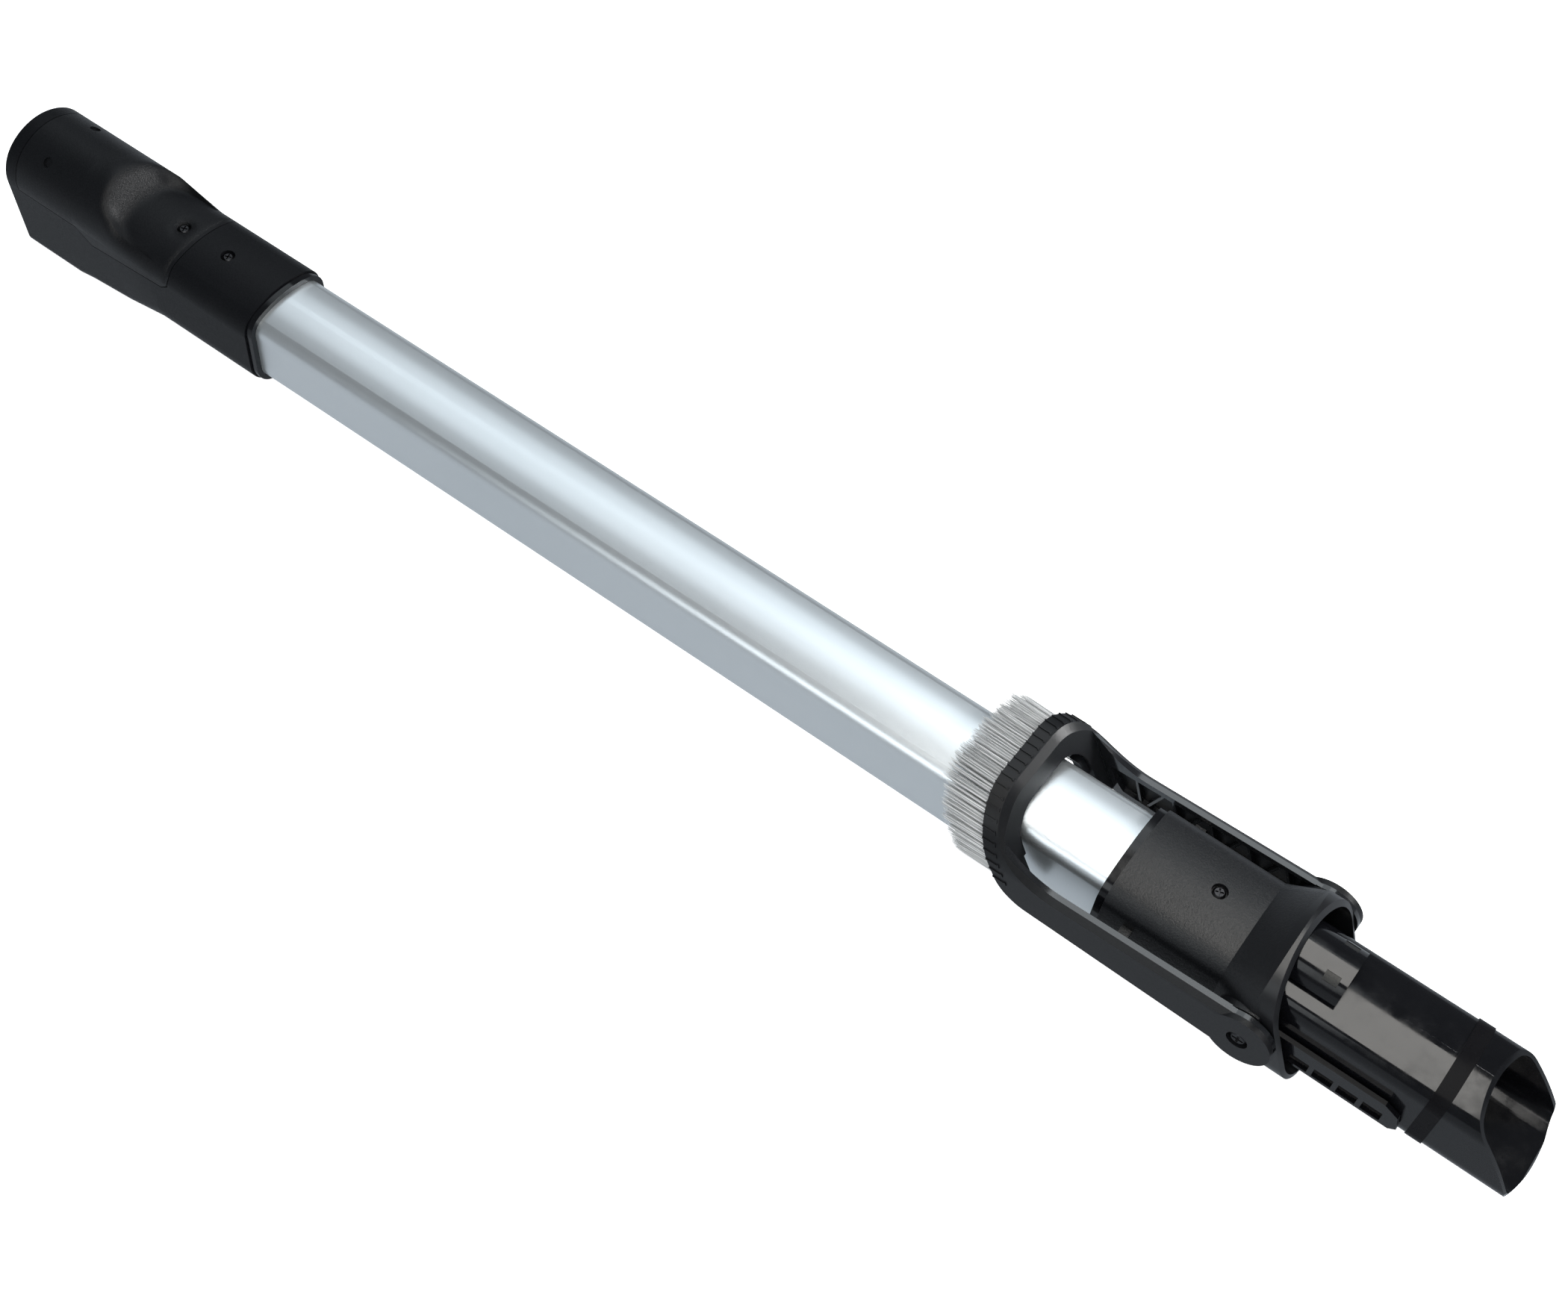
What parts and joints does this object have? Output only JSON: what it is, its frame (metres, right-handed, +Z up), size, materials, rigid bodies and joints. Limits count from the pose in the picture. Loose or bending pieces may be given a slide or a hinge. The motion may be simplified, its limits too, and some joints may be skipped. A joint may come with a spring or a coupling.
{
  "type": "vacuum cleaner tube",
  "caption": "Rigid suction tube with a rounded aluminium barrel, a socket at the handle end, an oblique spigot at the nozzle end and a dusting brush on a fork that folds back over the tube.",
  "frame": {"origin": "centre of the tube's section in the plane of the handle-end rim", "axes": "+X along the tube from the handle end to the nozzle end, +Z up through the tube's crown, +Y across"},
  "size_m": [0.7053, 0.066, 0.06],
  "materials": {
    "tube": "satin anodised",
    "housing": "fine moulded texture",
    "bezel": "smooth satin",
    "fork": "fine moulded texture with satin lattice",
    "gloss_trim": "polished",
    "spigot": "polished",
    "rubber": "soft matte",
    "inner_plastic": "plain moulded",
    "contact_metal": "plated",
    "screw": "black zinc",
    "washer": "turned",
    "bristle": "translucent nylon filaments"
  },
  "bodies": {
    "wand": {"aluminium_tube": "tube", "wiring_channel": "inner_plastic", "lower_housing": "housing", "top_cover": "housing", "housing_lip": "gloss_trim", "socket_seal": "rubber", "contact_carrier": "inner_plastic", "blade_near": "contact_metal", "blade_far": "contact_metal", "front_sleeve": "housing", "sleeve_trim": "gloss_trim", "tube_seal": "rubber", "nozzle_spigot": "spigot", "seal_band": "rubber", "hinge_collar": "housing", "front_bezel": "bezel", "contact_tongue": "gloss_trim", "contact_near": "contact_metal", "contact_far": "contact_metal", "rail_near": "gloss_trim", "rail_far": "gloss_trim", "cover_screw": "screw", "housing_screw": "screw", "sleeve_screw": "screw", "pivot_screw_near": "screw", "pivot_screw_far": "screw", "pivot_washer_near": "washer", "pivot_washer_far": "washer", "pivot_bush_near": "washer", "pivot_bush_far": "washer"},
    "brush": {"brush_fork": "fork", "tuft_strip": "inner_plastic", "bristle_tufts": "bristle"}
  },
  "joints": [
    {"name": "brush_hinge", "type": "hinge", "parent": "wand", "child": "brush", "pos_m": [0.605, 0, 0.001], "axis": [0, 1, 0], "range_deg": [0, 180]}
  ]
}
